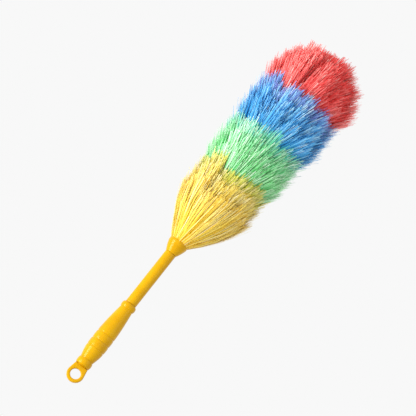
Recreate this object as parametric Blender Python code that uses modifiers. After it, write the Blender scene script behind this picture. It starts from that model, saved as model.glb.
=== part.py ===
"""A hand duster for ceilings and shelves: a moulded plastic handle with a hanging eye, a flared
ferrule, and a head of polypropylene fringe in four colours, wrapped in rows round a core tube.

Metres, +Z up along the handle's axis, the head on top. The origin is the middle of the grip.
"""

import math
import random
from dataclasses import dataclass

import bmesh
import bpy
from mathutils import Vector

# Fit shared by every pair of pieces that seat on each other
SEAT_GAP = 0.0003

# Core: the tube that carries the rows, and the cap that closes its far end
CORE_RADIUS = 0.0050
CORE_WALL = 0.0015
CORE_IN_SHAFT = 0.060
CAP_STEM_LENGTH = 0.008
CAP_OVERHANG = 0.0019
CAP_RIM_HEIGHT = 0.0012
CAP_DOME_HEIGHT = 0.0042

# Shaft: a tube round the core, with a stepped spigot at each end
SHAFT_LENGTH = 0.0912
SHAFT_HIGH_SPIGOT_WALL = 0.0015
SHAFT_HIGH_SPIGOT_LENGTH = 0.0088
SHAFT_HIGH_STEP = 0.0015
SHAFT_LOW_STEP = 0.0013
SHAFT_LOW_SPIGOT_LENGTH = 0.025
SHAFT_CHAMFER = 0.0006

# Ferrule: the flared cup that grips the roots of the first row
FERRULE_FLARE_LENGTH = 0.0158
FERRULE_LIP_LENGTH = 0.0038
FERRULE_FLARE = 0.0064
FERRULE_BULGE = 0.0007
FERRULE_WALL = 0.0017

# Grip: a hollow turned barrel between two beads
GRIP_LENGTH = 0.109
GRIP_LOW_NECK_WALL = 0.0028
GRIP_HIGH_NECK_WALL = 0.0024
GRIP_SWELL = 0.0038
GRIP_BEAD_PROUD = 0.0014
GRIP_LOW_BEAD_LENGTH = 0.0100
GRIP_HIGH_BEAD_LENGTH = 0.0088
GRIP_WALL = 0.0026
GRIP_SOCKET_SPARE = 0.001
FULL_FROM_SHARE = 0.25
FULL_TO_SHARE = 0.43
GROOVE_COUNT = 3
GROOVE_PITCH = 0.0118
GROOVE_DEPTH = 0.0008
GROOVE_HALF_WIDTH = 0.0010
GROOVE_FIRST_RISE = 0.0198

# Hanging eye: a flat moulded ring on a neck, with a hollow round plug that closes the grip
EYE_HOLE_RADIUS = 0.0074
EYE_RIM_WIDTH = 0.0051
EYE_THICKNESS = 0.0070
EYE_EDGE = 0.0013
EYE_NECK_LENGTH = 0.0020
EYE_ROOT_HALF_WIDTH = 0.0042
EYE_ROOT_LENGTH = 0.0040
PLUG_LENGTH = 0.020
PLUG_WALL = 0.0022
PLUG_CHAMFER = 0.0008
PLUG_FOOT = 0.0006

# Rows of fringe: a header ring round the core, cinched by a band at its rear neck, with the
# locks of fibre drawn out of its front wall
HEADER_HEIGHT = 0.009
HEADER_THICKNESS = 0.003
HEADER_NECK_HEIGHT = 0.0032
HEADER_NECK_THICKNESS = 0.0012
BAND_THICKNESS = 0.0013
LOCK_THICKNESS = 0.0023
HEADER_SIDES = 14
CROWN_HEADER_SIDES = 12
LOCK_SECTION_SHARES = (0.13, 0.53, 1.0)
LOCK_THICKNESS_SHARES = (0.75, 1.0, 0.85)
ROW_WIDTH_SHARES = (0.60, 0.62, 0.66)
CROWN_WIDTH_SHARES = (0.60, 0.90, 1.10)
LENGTH_SPREAD_SHARE = 0.06
TURN_SPREAD_SHARE = 0.13
FLARE_SPREAD = math.radians(0.9)

# Fibre length, spacing of the rows, and droop of the tips, colour by colour
YELLOW_FIBRE = 0.088
YELLOW_PITCH = 0.0233
YELLOW_SAG = 0.0055
GREEN_FIBRE = 0.090
GREEN_PITCH = 0.0232
GREEN_SAG = 0.0075
BLUE_FIBRE = 0.093
BLUE_PITCH = 0.0220
BLUE_SAG = 0.0105
RED_FIBRE = 0.096
RED_PITCH = 0.0215
RED_SAG = 0.0140
CROWN_FIBRE = 0.092
CROWN_PITCH = 0.0152

# Facets of the turned pieces
TURN_STEPS = 32
CORE_STEPS = 20
BAND_STEPS = 14
SCREW_MERGE = 0.00001
SHARP_ANGLE = math.radians(38)


@dataclass(frozen=True)
class Finish:
    """Colour (sRGB, 0 to 1), roughness and metallic value of one material."""

    name: str
    colour: tuple
    roughness: float
    metallic: float = 0.0


@dataclass(frozen=True)
class Tier:
    """One colour of the head: its fibre, the spacing of its rows, and how they fan out.

    flares holds the angles from the axis of a lock's root, middle and tip, in degrees, once for
    each row.
    """

    colour: str
    fibre: float
    pitch: float
    sag: float
    flares: tuple


@dataclass(frozen=True)
class Row:
    """One row of fringe where it sits on the core: bottom is the height of its header's foot."""

    name: str
    bottom: float
    sides: int
    fibre: float
    sag: float
    finish: Finish
    width_shares: tuple
    flares: tuple


HANDLE_YELLOW = Finish("moulded_handle_plastic", (0.97, 0.76, 0.02), 0.28)
CORE_WHITE = Finish("core_plastic", (0.86, 0.86, 0.83), 0.5)
BAND_STEEL = Finish("binding_steel", (0.62, 0.62, 0.60), 0.35, 1.0)
FIBRES = {
    "yellow": Finish("yellow_fibre", (0.97, 0.85, 0.42), 0.55),
    "green": Finish("green_fibre", (0.55, 0.87, 0.58), 0.55),
    "blue": Finish("blue_fibre", (0.22, 0.61, 0.87), 0.55),
    "red": Finish("red_fibre", (0.90, 0.27, 0.27), 0.55),
}
TIERS = (
    Tier(
        "yellow", YELLOW_FIBRE, YELLOW_PITCH, YELLOW_SAG,
        ((24, 41, 31), (38, 39, 29.5), (40, 39, 29.5)),
    ),
    Tier(
        "green", GREEN_FIBRE, GREEN_PITCH, GREEN_SAG,
        ((41, 39, 30), (42, 39.5, 30), (42, 39.5, 30.5)),
    ),
    Tier(
        "blue", BLUE_FIBRE, BLUE_PITCH, BLUE_SAG,
        ((43, 40, 31.5), (44, 40.5, 31.5), (44, 40.5, 32.5)),
    ),
    Tier(
        "red", RED_FIBRE, RED_PITCH, RED_SAG,
        ((44, 41, 33), (40, 35, 28), (32, 26, 20)),
    ),
)
CROWN_FLARES = ((8, 1, -1), (22, 13, 8))

# Radii, from the core outwards
CORE_BORE_RADIUS = CORE_RADIUS - CORE_WALL
SHAFT_BORE_RADIUS = CORE_RADIUS + SEAT_GAP
SHAFT_HIGH_SPIGOT_RADIUS = SHAFT_BORE_RADIUS + SHAFT_HIGH_SPIGOT_WALL
SHAFT_RADIUS = SHAFT_HIGH_SPIGOT_RADIUS + SHAFT_HIGH_STEP
SHAFT_LOW_SPIGOT_RADIUS = SHAFT_RADIUS - SHAFT_LOW_STEP
FERRULE_BORE_RADIUS = SHAFT_HIGH_SPIGOT_RADIUS + SEAT_GAP
FERRULE_MOUTH_RADIUS = SHAFT_RADIUS + FERRULE_FLARE
GRIP_BORE_RADIUS = SHAFT_LOW_SPIGOT_RADIUS + SEAT_GAP
GRIP_LOW_NECK_RADIUS = GRIP_BORE_RADIUS + GRIP_LOW_NECK_WALL
GRIP_HIGH_NECK_RADIUS = GRIP_BORE_RADIUS + GRIP_HIGH_NECK_WALL
GRIP_BARREL_RADIUS = GRIP_LOW_NECK_RADIUS + GRIP_SWELL
PLUG_RADIUS = GRIP_BORE_RADIUS - SEAT_GAP
HEADER_BORE_RADIUS = CORE_RADIUS + SEAT_GAP
HEADER_NECK_RADIUS = HEADER_BORE_RADIUS + HEADER_NECK_THICKNESS
HEADER_RADIUS = HEADER_BORE_RADIUS + HEADER_THICKNESS
BAND_BORE_RADIUS = HEADER_NECK_RADIUS + SEAT_GAP
BAND_RADIUS = BAND_BORE_RADIUS + BAND_THICKNESS
EYE_RADIUS = EYE_HOLE_RADIUS + EYE_RIM_WIDTH

# Heights, from the eye to the first row
GRIP_BOTTOM = -GRIP_LENGTH / 2
GRIP_TOP = GRIP_LENGTH / 2
GRIP_LOW_NECK = GRIP_BOTTOM + GRIP_LOW_BEAD_LENGTH
GRIP_HIGH_NECK = GRIP_TOP - GRIP_HIGH_BEAD_LENGTH
EYE_SHOULDER = GRIP_BOTTOM - SEAT_GAP
EYE_CENTRE = EYE_SHOULDER - EYE_NECK_LENGTH - EYE_RADIUS
SHAFT_BOTTOM = GRIP_TOP + SEAT_GAP
SHAFT_TOP = SHAFT_BOTTOM + SHAFT_LENGTH
FERRULE_BOTTOM = SHAFT_TOP + SEAT_GAP
FERRULE_TOP = FERRULE_BOTTOM + FERRULE_FLARE_LENGTH + FERRULE_LIP_LENGTH
FERRULE_FLOOR = SHAFT_TOP + SHAFT_HIGH_SPIGOT_LENGTH + SEAT_GAP
CORE_BOTTOM = SHAFT_TOP - CORE_IN_SHAFT
FIRST_HEADER = FERRULE_FLOOR + SEAT_GAP


def rows_of_head():
    """Lists every row of fringe from the ferrule to the crown, each one pitch above the last."""
    rows = []
    bottom = FIRST_HEADER
    for tier in TIERS:
        for number, flares in enumerate(tier.flares, 1):
            rows.append(
                Row(
                    f"{tier.colour}_fringe_{number}", bottom, HEADER_SIDES, tier.fibre, tier.sag,
                    FIBRES[tier.colour], ROW_WIDTH_SHARES, (flares,),
                )
            )
            bottom += tier.pitch
    crown = rows[-1].bottom + CROWN_PITCH
    rows.append(
        Row(
            "red_crown_fringe", crown, CROWN_HEADER_SIDES, CROWN_FIBRE, RED_SAG, FIBRES["red"],
            CROWN_WIDTH_SHARES, CROWN_FLARES,
        )
    )
    return rows


ROWS = rows_of_head()
CORE_TOP = ROWS[-1].bottom + HEADER_HEIGHT


def clear_scene():
    """Removes whatever the file already holds."""
    for thing in list(bpy.data.objects):
        bpy.data.objects.remove(thing, do_unlink=True)


def linear(channel):
    """Turns one sRGB channel into the linear value that a shader takes."""
    return channel / 12.92 if channel <= 0.04045 else ((channel + 0.055) / 1.055) ** 2.4


def material_of(finish):
    """Returns the material of a finish, making it the first time."""
    found = bpy.data.materials.get(finish.name)
    if found:
        return found
    made = bpy.data.materials.new(finish.name)
    made.use_nodes = True
    shader = made.node_tree.nodes["Principled BSDF"]
    colour = (*(linear(channel) for channel in finish.colour), 1.0)
    shader.inputs["Base Color"].default_value = colour
    shader.inputs["Roughness"].default_value = finish.roughness
    shader.inputs["Metallic"].default_value = finish.metallic
    made.diffuse_color = colour
    return made


def place(name, mesh, finish, home):
    """Makes the named object of a mesh, dresses it and links it to a collection."""
    mesh.name = name
    thing = bpy.data.objects.new(name, mesh)
    thing.data.materials.append(material_of(finish))
    home.objects.link(thing)
    return thing


def turned(name, outline, finish, home, steps=TURN_STEPS):
    """Turns an outline of (radius, height) points that runs down its outer side and back up its
    inner side. It is closed by its last edge, or starts and ends on the axis."""
    mesh = bpy.data.meshes.new(name)
    points = [(radius, 0.0, height) for radius, height in outline]
    edges = [(i, i + 1) for i in range(len(points) - 1)]
    if outline[0][0] > 0.0:
        edges.append((len(points) - 1, 0))
    mesh.from_pydata(points, edges, [])
    thing = place(name, mesh, finish, home)
    screw = thing.modifiers.new("turn", "SCREW")
    screw.axis = "Z"
    screw.angle = 2 * math.pi
    screw.steps = steps
    screw.render_steps = steps
    screw.use_merge_vertices = True
    screw.merge_threshold = SCREW_MERGE
    screw.use_smooth_shade = True
    split = thing.modifiers.new("crisp edges", "EDGE_SPLIT")
    split.split_angle = SHARP_ANGLE
    return thing


def bead(low, high, low_radius, high_radius, peak_radius):
    """Outline of a round bead, from its top end down to its bottom end."""
    points = 7
    outline = []
    for i in range(points):
        share = i / (points - 1)
        foot = high_radius + (low_radius - high_radius) * share
        radius = foot + (peak_radius - foot) * math.sin(math.pi * share)
        outline.append((radius, (low + high) / 2 + (high - low) / 2 * math.cos(math.pi * share)))
    return outline


def barrel_radius(height):
    """Outer radius of the grip between its beads: a quarter wave up from the low neck, a full
    middle, and a quarter wave down to the high neck."""
    share = (height - GRIP_LOW_NECK) / (GRIP_HIGH_NECK - GRIP_LOW_NECK)
    if share < FULL_FROM_SHARE:
        rise = math.cos(math.pi / 2 * (1 - share / FULL_FROM_SHARE))
        return GRIP_LOW_NECK_RADIUS + (GRIP_BARREL_RADIUS - GRIP_LOW_NECK_RADIUS) * rise
    if share > FULL_TO_SHARE:
        rise = math.cos(math.pi / 2 * (share - FULL_TO_SHARE) / (1 - FULL_TO_SHARE))
        return GRIP_HIGH_NECK_RADIUS + (GRIP_BARREL_RADIUS - GRIP_HIGH_NECK_RADIUS) * rise
    return GRIP_BARREL_RADIUS


def grip_outline():
    """The grip's outline: top bead, barrel with its grooves, bottom bead, and the hollow, which
    narrows at each end to the socket of what plugs in there."""
    grooves = [GRIP_LOW_NECK + GROOVE_FIRST_RISE + GROOVE_PITCH * i for i in range(GROOVE_COUNT)]
    barrel = []
    for groove in grooves:
        for height, cut in (
            (groove - GROOVE_HALF_WIDTH, 0.0),
            (groove, GROOVE_DEPTH),
            (groove + GROOVE_HALF_WIDTH, 0.0),
        ):
            barrel.append((barrel_radius(height) - cut, height))
    plain = 13
    for i in range(1, plain):
        height = GRIP_LOW_NECK + (GRIP_HIGH_NECK - GRIP_LOW_NECK) * i / plain
        if all(abs(height - groove) > 2 * GROOVE_HALF_WIDTH for groove in grooves):
            barrel.append((barrel_radius(height), height))
    outline = bead(
        GRIP_HIGH_NECK, GRIP_TOP, GRIP_HIGH_NECK_RADIUS, SHAFT_RADIUS + SHAFT_CHAMFER,
        GRIP_HIGH_NECK_RADIUS + GRIP_BEAD_PROUD,
    )
    outline += sorted(barrel, key=lambda point: point[1], reverse=True)
    outline += bead(
        GRIP_BOTTOM, GRIP_LOW_NECK, GRIP_LOW_NECK_RADIUS, GRIP_LOW_NECK_RADIUS,
        GRIP_LOW_NECK_RADIUS + GRIP_BEAD_PROUD,
    )
    outline.append((GRIP_BORE_RADIUS, GRIP_BOTTOM))
    low = GRIP_BOTTOM + PLUG_LENGTH + GRIP_SOCKET_SPARE
    high = GRIP_TOP - SHAFT_LOW_SPIGOT_LENGTH - GRIP_SOCKET_SPARE
    rings = 6
    outline.append((GRIP_BORE_RADIUS, low))
    for i in range(1, rings):
        height = low + (high - low) * i / rings
        hollow = barrel_radius(height) - GROOVE_DEPTH - GRIP_WALL
        outline.append((max(hollow, GRIP_BORE_RADIUS), height))
    outline.append((GRIP_BORE_RADIUS, high))
    outline.append((GRIP_BORE_RADIUS, GRIP_TOP))
    return outline


def shaft_outline():
    """The shaft's outline: upper spigot, body and lower spigot, round one bore."""
    high_end = SHAFT_TOP + SHAFT_HIGH_SPIGOT_LENGTH
    low_end = SHAFT_BOTTOM - SHAFT_LOW_SPIGOT_LENGTH
    return [
        (SHAFT_HIGH_SPIGOT_RADIUS - SHAFT_CHAMFER, high_end),
        (SHAFT_HIGH_SPIGOT_RADIUS, high_end - SHAFT_CHAMFER),
        (SHAFT_HIGH_SPIGOT_RADIUS, SHAFT_TOP),
        (SHAFT_RADIUS, SHAFT_TOP),
        (SHAFT_RADIUS, SHAFT_BOTTOM),
        (SHAFT_LOW_SPIGOT_RADIUS, SHAFT_BOTTOM),
        (SHAFT_LOW_SPIGOT_RADIUS, low_end + SHAFT_CHAMFER),
        (SHAFT_LOW_SPIGOT_RADIUS - SHAFT_CHAMFER, low_end),
        (SHAFT_BORE_RADIUS, low_end),
        (SHAFT_BORE_RADIUS, high_end),
    ]


def ferrule_radius(height):
    """Outer radius of the ferrule: a shallow arc from the shaft's radius to the mouth's."""
    share = min(1.0, (height - FERRULE_BOTTOM) / FERRULE_FLARE_LENGTH)
    straight = SHAFT_RADIUS + (FERRULE_MOUTH_RADIUS - SHAFT_RADIUS) * share
    return straight + FERRULE_BULGE * math.sin(math.pi * share)


def ferrule_outline():
    """The ferrule's outline: rounded lip, flare, bore over the shaft's spigot, and the cup."""
    outline = []
    lip = FERRULE_WALL / 2
    lip_points = 5
    for i in range(lip_points):
        turn = math.pi * i / (lip_points - 1)
        radius = FERRULE_MOUTH_RADIUS - lip - lip * math.cos(turn)
        outline.append((radius, FERRULE_TOP - lip + lip * math.sin(turn)))
    flare_points = 8
    for i in range(flare_points):
        height = FERRULE_BOTTOM + FERRULE_FLARE_LENGTH * (1 - i / (flare_points - 1))
        outline.append((ferrule_radius(height), height))
    cup_top = max(FERRULE_FLOOR, FERRULE_BOTTOM + FERRULE_FLARE_LENGTH)
    return outline + [
        (FERRULE_BORE_RADIUS, FERRULE_BOTTOM),
        (FERRULE_BORE_RADIUS, FERRULE_FLOOR),
        (ferrule_radius(FERRULE_FLOOR) - FERRULE_WALL, FERRULE_FLOOR),
        (ferrule_radius((FERRULE_FLOOR + cup_top) / 2) - FERRULE_WALL, (FERRULE_FLOOR + cup_top) / 2),
    ]


def tube_outline(bore, radius, low, high):
    """Outline of a plain tube or band."""
    return [(radius, high), (radius, low), (bore, low), (bore, high)]


def cap_outline():
    """The core cap's outline: a domed head that traps the crown, on a stem in the core's bore."""
    seat = CORE_TOP + SEAT_GAP
    radius = CORE_RADIUS + CAP_OVERHANG
    stem_radius = CORE_BORE_RADIUS - SEAT_GAP
    dome_points = 6
    outline = []
    for i in range(dome_points):
        turn = math.pi / 2 * i / (dome_points - 1)
        height = seat + CAP_RIM_HEIGHT + CAP_DOME_HEIGHT * math.cos(turn)
        outline.append((radius * math.sin(turn), height))
    return outline + [
        (radius, seat),
        (stem_radius, seat),
        (stem_radius, CORE_TOP - CAP_STEM_LENGTH),
        (0.0, CORE_TOP - CAP_STEM_LENGTH),
    ]


def plug_outline():
    """The outline of the eye's hollow plug, open at the top."""
    foot = EYE_SHOULDER - PLUG_FOOT
    top = EYE_SHOULDER + PLUG_LENGTH
    floor = EYE_SHOULDER + EYE_ROOT_LENGTH + PLUG_WALL
    hollow = PLUG_RADIUS - PLUG_WALL
    return [
        (0.0, floor),
        (hollow, floor),
        (hollow, top),
        (PLUG_RADIUS - PLUG_CHAMFER, top),
        (PLUG_RADIUS, top - PLUG_CHAMFER),
        (PLUG_RADIUS, foot),
        (0.0, foot),
    ]


def circle(radius, height, start, sweep, points):
    """Points of an arc in the eye's plane, about the eye's axis at the given height."""
    arc = []
    for i in range(points):
        turn = start + sweep * i / (points - 1)
        arc.append((radius * math.cos(turn), height + radius * math.sin(turn)))
    return arc


def eye_outline():
    """Outline of the eye in its own plane: the root inside the plug, the shoulders as wide as the
    grip's end, the neck, and the round eye that the neck's sides meet at a tangent."""
    rise = EYE_SHOULDER - EYE_CENTRE
    reach = math.hypot(GRIP_LOW_NECK_RADIUS, rise)
    tangent = math.atan2(rise, GRIP_LOW_NECK_RADIUS) - math.acos(EYE_RADIUS / reach)
    root_top = EYE_SHOULDER + EYE_ROOT_LENGTH
    return [
        (GRIP_LOW_NECK_RADIUS, EYE_SHOULDER),
        (EYE_ROOT_HALF_WIDTH, EYE_SHOULDER),
        (EYE_ROOT_HALF_WIDTH, root_top),
        (-EYE_ROOT_HALF_WIDTH, root_top),
        (-EYE_ROOT_HALF_WIDTH, EYE_SHOULDER),
        (-GRIP_LOW_NECK_RADIUS, EYE_SHOULDER),
    ] + circle(EYE_RADIUS, EYE_CENTRE, math.pi - tangent, math.pi + 2 * tangent, 29)


def closed_spline(curve, points):
    """Adds a closed run of straight edges to a flat curve."""
    spline = curve.splines.new("POLY")
    spline.points.add(len(points) - 1)
    for point, (across, up) in zip(spline.points, points):
        point.co = (across, up, 0.0, 1.0)
    spline.use_cyclic_u = True


def hanging_eye(home, helpers):
    """The flat eye, cut as one outline with its edges rounded, joined to its round plug."""
    curve = bpy.data.curves.new("eye outline", "CURVE")
    curve.dimensions = "2D"
    curve.fill_mode = "BOTH"
    curve.extrude = EYE_THICKNESS / 2
    closed_spline(curve, eye_outline())
    closed_spline(curve, circle(EYE_HOLE_RADIUS, EYE_CENTRE, 0.0, 2 * math.pi, 33)[:-1])
    flat = bpy.data.objects.new("eye outline", curve)
    flat.rotation_euler = (math.radians(90), 0.0, 0.0)
    helpers.objects.link(flat)
    bpy.context.view_layer.update()
    mesh = bpy.data.meshes.new_from_object(
        flat.evaluated_get(bpy.context.evaluated_depsgraph_get())
    )
    upright = flat.matrix_world.copy()
    bpy.data.objects.remove(flat, do_unlink=True)
    shape = bmesh.new()
    shape.from_mesh(mesh)
    bmesh.ops.remove_doubles(shape, verts=shape.verts, dist=SCREW_MERGE)
    bmesh.ops.transform(shape, matrix=upright, verts=shape.verts)
    bmesh.ops.recalc_face_normals(shape, faces=shape.faces)
    shape.to_mesh(mesh)
    shape.free()
    eye = place("hang_eye", mesh, HANDLE_YELLOW, home)
    rounding = eye.modifiers.new("rounded edges", "BEVEL")
    rounding.width = EYE_EDGE
    rounding.segments = 3
    rounding.limit_method = "ANGLE"
    rounding.angle_limit = math.radians(60)
    plug = turned("eye plug", plug_outline(), HANDLE_YELLOW, helpers)
    plug.modifiers.remove(plug.modifiers["crisp edges"])
    plug.hide_render = True
    plug.display_type = "WIRE"
    joined = eye.modifiers.new("with its plug", "BOOLEAN")
    joined.operation = "UNION"
    joined.object = plug
    mesh.shade_smooth()
    mesh.set_sharp_from_angle(angle=SHARP_ANGLE)


def angle_round_axis(point):
    """Angle of a point round the duster's axis, from 0 to a full turn."""
    return math.atan2(point.y, point.x) % (2 * math.pi)


def header_shape(row):
    """The row's header as a ring with a rear neck, and its front wall cut into triangles, one for
    the root of each lock. Returns the shape and those triangles in order round the ring."""
    neck_top = row.bottom + HEADER_NECK_HEIGHT
    top = row.bottom + HEADER_HEIGHT
    section = (
        (HEADER_BORE_RADIUS, row.bottom),
        (HEADER_NECK_RADIUS, row.bottom),
        (HEADER_NECK_RADIUS, neck_top),
        (HEADER_RADIUS, neck_top),
        (HEADER_RADIUS, top),
        (HEADER_BORE_RADIUS, top),
    )
    shape = bmesh.new()
    corners = [shape.verts.new((radius, 0.0, height)) for radius, height in section]
    edges = [shape.edges.new((corners[i - 1], corners[i])) for i in range(len(corners))]
    bmesh.ops.spin(
        shape, geom=corners + edges, cent=(0, 0, 0), axis=(0, 0, 1), angle=2 * math.pi,
        steps=row.sides, use_merge=True,
    )
    bmesh.ops.recalc_face_normals(shape, faces=shape.faces)
    inside_wall = (HEADER_NECK_RADIUS + HEADER_RADIUS) / 2
    wall = [f for f in shape.faces if all(v.co.xy.length > inside_wall for v in f.verts)]
    roots = bmesh.ops.triangulate(shape, faces=wall, quad_method="FIXED")["faces"]
    return shape, sorted(roots, key=lambda face: angle_round_axis(face.calc_center_median()))


def lock_sections(flare, fibre, foot, gate):
    """Sections of one lock as (radius, height, angle from the axis), from root to tip.

    gate, where there is one, is the (radius, height) that the first section has to pass.
    """
    radius, height = HEADER_RADIUS, foot
    done = 0.0
    sections = []
    for share, angle in zip(LOCK_SECTION_SHARES, flare):
        run = fibre * share - done
        if gate and not sections:
            angle = math.atan2(gate[0] - radius, gate[1] - height)
            run = math.hypot(gate[0] - radius, gate[1] - height)
        radius += run * math.sin(angle)
        height += run * math.cos(angle)
        done += run
        sections.append((radius, height, angle))
    return sections


def corner_marks(root, foot):
    """For each corner of a lock's root: its side (-1 or 1 round the ring, 0 for the lone corner,
    which is the lock's ridge), and 1 on the lock's outer face or -1 on its inner face."""
    lower = [vert.co.z < foot for vert in root.verts]
    lone = lower.index(True) if sum(lower) == 1 else lower.index(False)
    centre = angle_round_axis(root.calc_center_median())
    marks = []
    for i, vert in enumerate(root.verts):
        swing = (angle_round_axis(vert.co) - centre + math.pi) % (2 * math.pi) - math.pi
        side = 0 if i == lone else math.copysign(1, swing)
        marks.append((side, 1 if lower[i] else -1))
    return marks


def fringe_row(row, seed, home, gate=None):
    """One row of fringe: its header, and a lock of fibre drawn out of each triangle of its wall.

    Each lock is three-sided, widens with the fan and ends in a blunt cut. Locks of one row keep
    apart round the ring, and rows keep apart because they follow nearly the same curve.
    """
    chance = random.Random(seed)
    shape, roots = header_shape(row)
    foot = row.bottom + (HEADER_NECK_HEIGHT + HEADER_HEIGHT) / 2
    pitch = 2 * math.pi / len(roots)
    for number, face in enumerate(roots):
        turn = (number + 0.5 + chance.uniform(-1, 1) * TURN_SPREAD_SHARE) * pitch
        wander = chance.uniform(-1, 1) * FLARE_SPREAD
        fibre = row.fibre * (1 + chance.uniform(-1, 1) * LENGTH_SPREAD_SHARE)
        flare = [math.radians(a) + wander for a in row.flares[number % len(row.flares)]]
        outward = Vector((math.cos(turn), math.sin(turn), 0.0))
        round_ring = Vector((-math.sin(turn), math.cos(turn), 0.0))
        marks = corner_marks(face, foot)
        for i, (radius, height, angle) in enumerate(lock_sections(flare, fibre, foot, gate)):
            face = bmesh.ops.extrude_discrete_faces(shape, faces=[face])["faces"][0]
            half_width = row.width_shares[i] * pitch * radius / 2
            half_thickness = LOCK_THICKNESS * LOCK_THICKNESS_SHARES[i] / 2
            droop = row.sag * LOCK_SECTION_SHARES[i] ** 2
            middle = outward * radius + Vector((droop, 0.0, height))
            off_lock = outward * math.cos(angle) - Vector((0.0, 0.0, math.sin(angle)))
            for vert, (side, out) in zip(face.verts, marks):
                vert.co = middle + round_ring * side * half_width + off_lock * out * half_thickness
    bmesh.ops.recalc_face_normals(shape, faces=shape.faces)
    mesh = bpy.data.meshes.new(row.name)
    shape.to_mesh(mesh)
    shape.free()
    place(row.name, mesh, row.finish, home)


def head(home):
    """Every row of the head with the band that cinches it. The first row leaves its header inside
    the ferrule, so its locks pass just inside the ferrule's lip."""
    mouth = FERRULE_MOUTH_RADIUS - FERRULE_WALL
    lip_gate = (mouth - LOCK_THICKNESS, FERRULE_TOP + FERRULE_WALL)
    for seed, row in enumerate(ROWS):
        fringe_row(row, seed, home, lip_gate if row is ROWS[0] else None)
        low = row.bottom + SEAT_GAP
        high = row.bottom + HEADER_NECK_HEIGHT - SEAT_GAP
        band = tube_outline(BAND_BORE_RADIUS, BAND_RADIUS, low, high)
        turned(row.name.replace("fringe", "binding"), band, BAND_STEEL, home, BAND_STEPS)


def main():
    """Builds the duster, piece by piece, from the hanging eye up to the crown."""
    clear_scene()
    home = bpy.data.collections.new("static_duster")
    helpers = bpy.data.collections.new("cutters")
    bpy.context.scene.collection.children.link(home)
    bpy.context.scene.collection.children.link(helpers)
    hanging_eye(home, helpers)
    turned("grip", grip_outline(), HANDLE_YELLOW, home)
    turned("shaft", shaft_outline(), HANDLE_YELLOW, home)
    turned("ferrule", ferrule_outline(), HANDLE_YELLOW, home)
    core = tube_outline(CORE_BORE_RADIUS, CORE_RADIUS, CORE_BOTTOM, CORE_TOP)
    turned("core_tube", core, CORE_WHITE, home, CORE_STEPS)
    turned("core_cap", cap_outline(), CORE_WHITE, home, CORE_STEPS)
    head(home)


main()
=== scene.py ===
"""Looks of a static hand duster: a moulded plastic handle and a head of slit film fibre.

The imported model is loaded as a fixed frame. The handle's four pieces are turned again with finer
curves, and each row of fringe is grown strand by strand with Geometry Nodes. Metres, +Z up along
the handle's axis, the head on top; the tips droop towards +X.
"""

import logging
import math
import re
import sys
from dataclasses import dataclass, field
from enum import Enum
from functools import partial
from typing import Any, Callable, ClassVar, Optional, Union

import bmesh
import bpy
from mathutils import Matrix, Vector


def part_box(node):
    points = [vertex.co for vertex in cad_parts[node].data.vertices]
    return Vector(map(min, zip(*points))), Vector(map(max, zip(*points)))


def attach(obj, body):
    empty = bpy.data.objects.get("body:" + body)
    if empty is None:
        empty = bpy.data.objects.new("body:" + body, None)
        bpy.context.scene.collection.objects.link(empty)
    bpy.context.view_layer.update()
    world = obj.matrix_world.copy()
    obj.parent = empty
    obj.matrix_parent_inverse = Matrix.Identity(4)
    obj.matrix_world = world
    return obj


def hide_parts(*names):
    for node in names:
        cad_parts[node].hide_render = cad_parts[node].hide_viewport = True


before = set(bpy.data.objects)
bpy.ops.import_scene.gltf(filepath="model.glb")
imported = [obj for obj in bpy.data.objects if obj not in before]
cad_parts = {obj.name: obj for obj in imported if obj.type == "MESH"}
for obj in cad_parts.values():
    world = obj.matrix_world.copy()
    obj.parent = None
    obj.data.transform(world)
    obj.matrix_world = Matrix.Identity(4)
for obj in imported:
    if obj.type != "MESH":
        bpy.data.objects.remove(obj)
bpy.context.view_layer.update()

log = logging.getLogger("static_duster")

Outline = list[tuple[float, float]]
Colour = tuple[float, float, float, float]
Node = bpy.types.Node
Link = Union[Node, bpy.types.NodeSocket, float, int, bool, str, tuple]
Adder = Callable[..., Node]

WELD = 1e-6


def linear_rgba(code: str) -> Colour:
    """Turns an sRGB hex value into the linear colour that a shader takes.

    Args:
        code: six hex digits, such as "F5C211".

    Returns:
        Linear red, green and blue, with an alpha of 1.
    """
    channels = [int(code[i : i + 2], 16) / 255 for i in (0, 2, 4)]
    linear = [c / 12.92 if c <= 0.04045 else ((c + 0.055) / 1.055) ** 2.4 for c in channels]
    return (*linear, 1.0)


def add_node(
    tree: bpy.types.NodeTree,
    kind: str,
    settings: Optional[dict[str, Any]] = None,
    links: Optional[dict[Union[int, str], Link]] = None,
) -> Node:
    """Adds a node to a tree, with its settings, values and incoming links.

    Args:
        tree: the tree that gets the node.
        kind: the node's type name.
        settings: values of the node's own properties, by name.
        links: what each input takes, by index or name: a node, whose first live output is
            taken, a socket, or a plain value.

    Returns:
        The new node.
    """
    node = tree.nodes.new(kind)
    for name, value in (settings or {}).items():
        setattr(node, name, value)
    for name, value in (links or {}).items():
        if isinstance(value, Node):
            value = next(output for output in value.outputs if output.enabled)
        if isinstance(value, bpy.types.NodeSocket):
            tree.links.new(value, node.inputs[name])
        else:
            node.inputs[name].default_value = value
    return node


def blank_material(name: str) -> tuple[bpy.types.Material, Adder]:
    """Makes an empty node material.

    Args:
        name: the material's name.

    Returns:
        The material, and add_node for its tree.
    """
    material = bpy.data.materials.new(name)
    material.use_nodes = True
    material.node_tree.nodes.clear()
    return material, partial(add_node, material.node_tree)


def set_ramp(node: Node, stops: tuple[tuple[float, str], ...]) -> None:
    """Gives a colour ramp its stops.

    Args:
        node: the Color Ramp node.
        stops: position and sRGB hex colour of each stop, in order.
    """
    elements = node.color_ramp.elements
    while len(elements) < len(stops):
        elements.new(1.0)
    for element, (position, code) in zip(elements, stops):
        element.position = position
        element.color = linear_rgba(code)


class Body(Enum):
    """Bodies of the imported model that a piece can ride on."""

    ROOT = "root"


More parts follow.
